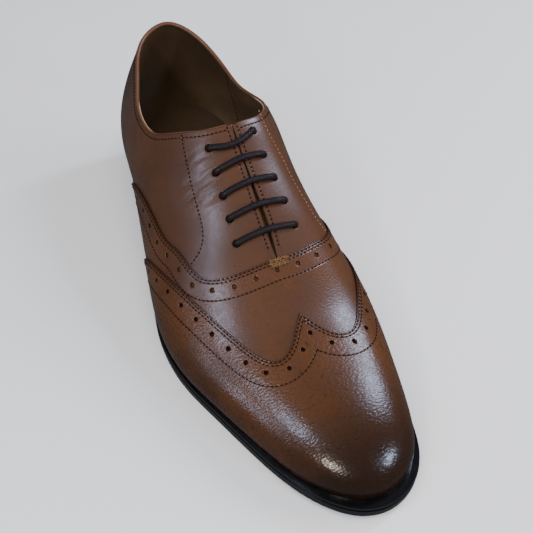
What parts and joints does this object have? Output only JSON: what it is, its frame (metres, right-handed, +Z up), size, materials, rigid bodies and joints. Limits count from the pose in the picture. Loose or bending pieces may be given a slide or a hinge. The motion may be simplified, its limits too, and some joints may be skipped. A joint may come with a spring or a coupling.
{
  "type": "wing tip lace-up dress shoe",
  "caption": "Right wing tip dress shoe in tan leather: hollow upper with a pointed cap over the toe, closed lacing with dark laces, tongue, welted black sole and stacked heel.",
  "frame": {"origin": "centre of the shoe's box on the floor", "axes": "toe to -Y, heel to +Y, +X to the inner side of the foot, +Z up"},
  "size_m": [0.1148, 0.3015, 0.0995],
  "materials": {
    "upper_leather": "polished, soft sheen",
    "overlay_leather": "burnished, fine grain",
    "lining_leather": "matte",
    "sole_edge_black": "black edge dressing, glossy",
    "heel_rubber": "matte",
    "waxed_cord": "waxed, dull"
  },
  "bodies": {
    "root": {"outsole": "sole_edge_black", "welt": "sole_edge_black", "heel_stack": "sole_edge_black", "heel_top_piece": "heel_rubber", "insole": "lining_leather", "upper": "upper_leather", "vamp": "overlay_leather", "wing_cap": "overlay_leather", "tongue": "lining_leather", "lace": "waxed_cord"}
  },
  "joints": []
}
